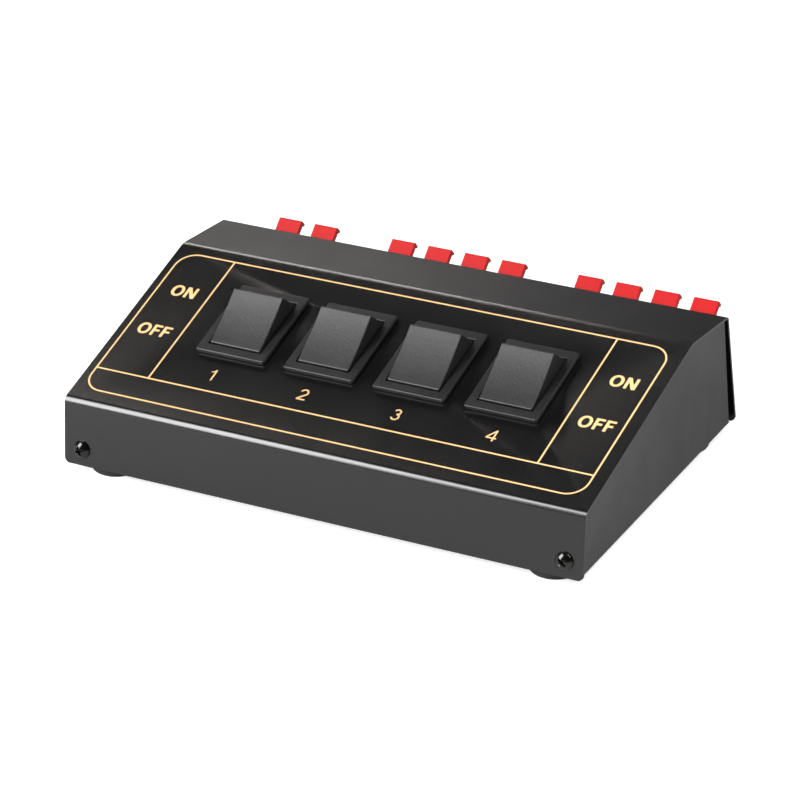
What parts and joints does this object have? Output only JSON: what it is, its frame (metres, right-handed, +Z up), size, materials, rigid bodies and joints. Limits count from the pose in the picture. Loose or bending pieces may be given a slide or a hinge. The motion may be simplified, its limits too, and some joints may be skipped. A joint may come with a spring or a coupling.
{
  "type": "speaker selector switch",
  "caption": "Sloping sheet-metal console with rocker switches on its panel and rows of spring-lever wire terminals on its rear wall.",
  "frame": {"origin": "centre of the bounding box, on the plane that the rubber feet stand on", "axes": "+X to the right along the case, +Y from the sloping front to the terminals at the rear, +Z up"},
  "size_m": [0.185, 0.115, 0.047],
  "materials": {
    "cover_paint": "fine satin black powder coat",
    "chassis_paint": "satin black powder coat",
    "screw_black": "glossy black oxide",
    "foot_rubber": "grainy moulded rubber",
    "switch_plastic": "semi-gloss black",
    "rocker_plastic": "fine-grained satin black",
    "terminal_plastic": "satin black",
    "lever_red": "satin red",
    "lever_black": "satin black",
    "tinned_tags": "bright tin plate",
    "copper_parts": "plain copper alloy",
    "spring_steel": "bright",
    "wire_sleeve": "soft sleeve"
  },
  "bodies": {
    "case": {"top_cover": "cover_paint", "base_chassis": "chassis_paint", "cover_screws": "screw_black", "rubber_feet": "foot_rubber", "switch_1_housing": "switch_plastic", "switch_1_terminals": "tinned_tags", "switch_2_housing": "switch_plastic", "switch_2_terminals": "tinned_tags", "switch_3_housing": "switch_plastic", "switch_3_terminals": "tinned_tags", "switch_4_housing": "switch_plastic", "switch_4_terminals": "tinned_tags", "input_terminal_block": "terminal_plastic", "input_contact_strips": "tinned_tags", "input_leaf_springs": "spring_steel", "output_a_terminal_block": "terminal_plastic", "output_a_contact_strips": "tinned_tags", "output_a_leaf_springs": "spring_steel", "output_b_terminal_block": "terminal_plastic", "output_b_contact_strips": "tinned_tags", "output_b_leaf_springs": "spring_steel", "wiring_loom": "wire_sleeve"},
    "rocker_1": {"switch_1_rocker": "rocker_plastic", "switch_1_plungers": "copper_parts"},
    "blades_1": {"switch_1_contact_blades": "copper_parts"},
    "rocker_2": {"switch_2_rocker": "rocker_plastic", "switch_2_plungers": "copper_parts"},
    "blades_2": {"switch_2_contact_blades": "copper_parts"},
    "rocker_3": {"switch_3_rocker": "rocker_plastic", "switch_3_plungers": "copper_parts"},
    "blades_3": {"switch_3_contact_blades": "copper_parts"},
    "rocker_4": {"switch_4_rocker": "rocker_plastic", "switch_4_plungers": "copper_parts"},
    "blades_4": {"switch_4_contact_blades": "copper_parts"},
    "input_red_lever_1": {"input_red_lever_1": "lever_red"},
    "input_red_lever_2": {"input_red_lever_2": "lever_red"},
    "input_black_lever_1": {"input_black_lever_1": "lever_black"},
    "input_black_lever_2": {"input_black_lever_2": "lever_black"},
    "output_a_red_lever_1": {"output_a_red_lever_1": "lever_red"},
    "output_a_red_lever_2": {"output_a_red_lever_2": "lever_red"},
    "output_a_red_lever_3": {"output_a_red_lever_3": "lever_red"},
    "output_a_red_lever_4": {"output_a_red_lever_4": "lever_red"},
    "output_a_black_lever_1": {"output_a_black_lever_1": "lever_black"},
    "output_a_black_lever_2": {"output_a_black_lever_2": "lever_black"},
    "output_a_black_lever_3": {"output_a_black_lever_3": "lever_black"},
    "output_a_black_lever_4": {"output_a_black_lever_4": "lever_black"},
    "output_b_red_lever_1": {"output_b_red_lever_1": "lever_red"},
    "output_b_red_lever_2": {"output_b_red_lever_2": "lever_red"},
    "output_b_red_lever_3": {"output_b_red_lever_3": "lever_red"},
    "output_b_red_lever_4": {"output_b_red_lever_4": "lever_red"},
    "output_b_black_lever_1": {"output_b_black_lever_1": "lever_black"},
    "output_b_black_lever_2": {"output_b_black_lever_2": "lever_black"},
    "output_b_black_lever_3": {"output_b_black_lever_3": "lever_black"},
    "output_b_black_lever_4": {"output_b_black_lever_4": "lever_black"}
  },
  "joints": [
    {"name": "rocker_1_tilt", "type": "hinge", "parent": "case", "child": "rocker_1", "pos_m": [-0.04845, -0.00693, 0.03506], "axis": [-1, 0, 0], "range_deg": [0, 39]},
    {"name": "blades_1_tilt", "type": "hinge", "parent": "case", "child": "blades_1", "pos_m": [-0.04845, -0.00471, 0.02705], "axis": [-1, 0, 0], "range_deg": [-16, 0]},
    {"name": "rocker_2_tilt", "type": "hinge", "parent": "case", "child": "rocker_2", "pos_m": [-0.01615, -0.00693, 0.03506], "axis": [-1, 0, 0], "range_deg": [0, 39]},
    {"name": "blades_2_tilt", "type": "hinge", "parent": "case", "child": "blades_2", "pos_m": [-0.01615, -0.00471, 0.02705], "axis": [-1, 0, 0], "range_deg": [-16, 0]},
    {"name": "rocker_3_tilt", "type": "hinge", "parent": "case", "child": "rocker_3", "pos_m": [0.01615, -0.00693, 0.03506], "axis": [-1, 0, 0], "range_deg": [0, 39]},
    {"name": "blades_3_tilt", "type": "hinge", "parent": "case", "child": "blades_3", "pos_m": [0.01615, -0.00471, 0.02705], "axis": [-1, 0, 0], "range_deg": [-16, 0]},
    {"name": "rocker_4_tilt", "type": "hinge", "parent": "case", "child": "rocker_4", "pos_m": [0.04845, -0.00693, 0.03506], "axis": [-1, 0, 0], "range_deg": [0, 39]},
    {"name": "blades_4_tilt", "type": "hinge", "parent": "case", "child": "blades_4", "pos_m": [0.04845, -0.00471, 0.02705], "axis": [-1, 0, 0], "range_deg": [-16, 0]},
    {"name": "input_red_1_press", "type": "hinge", "parent": "case", "child": "input_red_lever_1", "pos_m": [-0.07081, 0.04399, 0.03395], "axis": [-1, 0, 0], "range_deg": [0, 20], "stiffness_Nm_per_rad": 0.05, "springref_deg": -5.73},
    {"name": "input_red_2_press", "type": "hinge", "parent": "case", "child": "input_red_lever_2", "pos_m": [-0.05719, 0.04399, 0.03395], "axis": [-1, 0, 0], "range_deg": [0, 20], "stiffness_Nm_per_rad": 0.05, "springref_deg": -5.73},
    {"name": "input_black_1_press", "type": "hinge", "parent": "case", "child": "input_black_lever_1", "pos_m": [-0.07081, 0.04528, 0.02061], "axis": [-1, 0, 0], "range_deg": [0, 20], "stiffness_Nm_per_rad": 0.05, "springref_deg": -5.73},
    {"name": "input_black_2_press", "type": "hinge", "parent": "case", "child": "input_black_lever_2", "pos_m": [-0.05719, 0.04528, 0.02061], "axis": [-1, 0, 0], "range_deg": [0, 20], "stiffness_Nm_per_rad": 0.05, "springref_deg": -5.73},
    {"name": "output_a_red_1_press", "type": "hinge", "parent": "case", "child": "output_a_red_lever_1", "pos_m": [-0.02771, 0.04399, 0.03395], "axis": [-1, 0, 0], "range_deg": [0, 20], "stiffness_Nm_per_rad": 0.05, "springref_deg": -5.73},
    {"name": "output_a_red_2_press", "type": "hinge", "parent": "case", "child": "output_a_red_lever_2", "pos_m": [-0.01409, 0.04399, 0.03395], "axis": [-1, 0, 0], "range_deg": [0, 20], "stiffness_Nm_per_rad": 0.05, "springref_deg": -5.73},
    {"name": "output_a_red_3_press", "type": "hinge", "parent": "case", "child": "output_a_red_lever_3", "pos_m": [-0.00047, 0.04399, 0.03395], "axis": [-1, 0, 0], "range_deg": [0, 20], "stiffness_Nm_per_rad": 0.05, "springref_deg": -5.73},
    {"name": "output_a_red_4_press", "type": "hinge", "parent": "case", "child": "output_a_red_lever_4", "pos_m": [0.01315, 0.04399, 0.03395], "axis": [-1, 0, 0], "range_deg": [0, 20], "stiffness_Nm_per_rad": 0.05, "springref_deg": -5.73},
    {"name": "output_a_black_1_press", "type": "hinge", "parent": "case", "child": "output_a_black_lever_1", "pos_m": [-0.02771, 0.04528, 0.02061], "axis": [-1, 0, 0], "range_deg": [0, 20], "stiffness_Nm_per_rad": 0.05, "springref_deg": -5.73},
    {"name": "output_a_black_2_press", "type": "hinge", "parent": "case", "child": "output_a_black_lever_2", "pos_m": [-0.01409, 0.04528, 0.02061], "axis": [-1, 0, 0], "range_deg": [0, 20], "stiffness_Nm_per_rad": 0.05, "springref_deg": -5.73},
    {"name": "output_a_black_3_press", "type": "hinge", "parent": "case", "child": "output_a_black_lever_3", "pos_m": [-0.00047, 0.04528, 0.02061], "axis": [-1, 0, 0], "range_deg": [0, 20], "stiffness_Nm_per_rad": 0.05, "springref_deg": -5.73},
    {"name": "output_a_black_4_press", "type": "hinge", "parent": "case", "child": "output_a_black_lever_4", "pos_m": [0.01315, 0.04528, 0.02061], "axis": [-1, 0, 0], "range_deg": [0, 20], "stiffness_Nm_per_rad": 0.05, "springref_deg": -5.73},
    {"name": "output_b_red_1_press", "type": "hinge", "parent": "case", "child": "output_b_red_lever_1", "pos_m": [0.04089, 0.04399, 0.03395], "axis": [-1, 0, 0], "range_deg": [0, 20], "stiffness_Nm_per_rad": 0.05, "springref_deg": -5.73},
    {"name": "output_b_red_2_press", "type": "hinge", "parent": "case", "child": "output_b_red_lever_2", "pos_m": [0.05451, 0.04399, 0.03395], "axis": [-1, 0, 0], "range_deg": [0, 20], "stiffness_Nm_per_rad": 0.05, "springref_deg": -5.73},
    {"name": "output_b_red_3_press", "type": "hinge", "parent": "case", "child": "output_b_red_lever_3", "pos_m": [0.06813, 0.04399, 0.03395], "axis": [-1, 0, 0], "range_deg": [0, 20], "stiffness_Nm_per_rad": 0.05, "springref_deg": -5.73},
    {"name": "output_b_red_4_press", "type": "hinge", "parent": "case", "child": "output_b_red_lever_4", "pos_m": [0.08175, 0.04399, 0.03395], "axis": [-1, 0, 0], "range_deg": [0, 20], "stiffness_Nm_per_rad": 0.05, "springref_deg": -5.73},
    {"name": "output_b_black_1_press", "type": "hinge", "parent": "case", "child": "output_b_black_lever_1", "pos_m": [0.04089, 0.04528, 0.02061], "axis": [-1, 0, 0], "range_deg": [0, 20], "stiffness_Nm_per_rad": 0.05, "springref_deg": -5.73},
    {"name": "output_b_black_2_press", "type": "hinge", "parent": "case", "child": "output_b_black_lever_2", "pos_m": [0.05451, 0.04528, 0.02061], "axis": [-1, 0, 0], "range_deg": [0, 20], "stiffness_Nm_per_rad": 0.05, "springref_deg": -5.73},
    {"name": "output_b_black_3_press", "type": "hinge", "parent": "case", "child": "output_b_black_lever_3", "pos_m": [0.06813, 0.04528, 0.02061], "axis": [-1, 0, 0], "range_deg": [0, 20], "stiffness_Nm_per_rad": 0.05, "springref_deg": -5.73},
    {"name": "output_b_black_4_press", "type": "hinge", "parent": "case", "child": "output_b_black_lever_4", "pos_m": [0.08175, 0.04528, 0.02061], "axis": [-1, 0, 0], "range_deg": [0, 20], "stiffness_Nm_per_rad": 0.05, "springref_deg": -5.73}
  ],
  "couplings": [
    {"joint": "blades_1_tilt", "follows": "rocker_1_tilt", "ratio": -0.41},
    {"joint": "blades_2_tilt", "follows": "rocker_2_tilt", "ratio": -0.41},
    {"joint": "blades_3_tilt", "follows": "rocker_3_tilt", "ratio": -0.41},
    {"joint": "blades_4_tilt", "follows": "rocker_4_tilt", "ratio": -0.41}
  ]
}
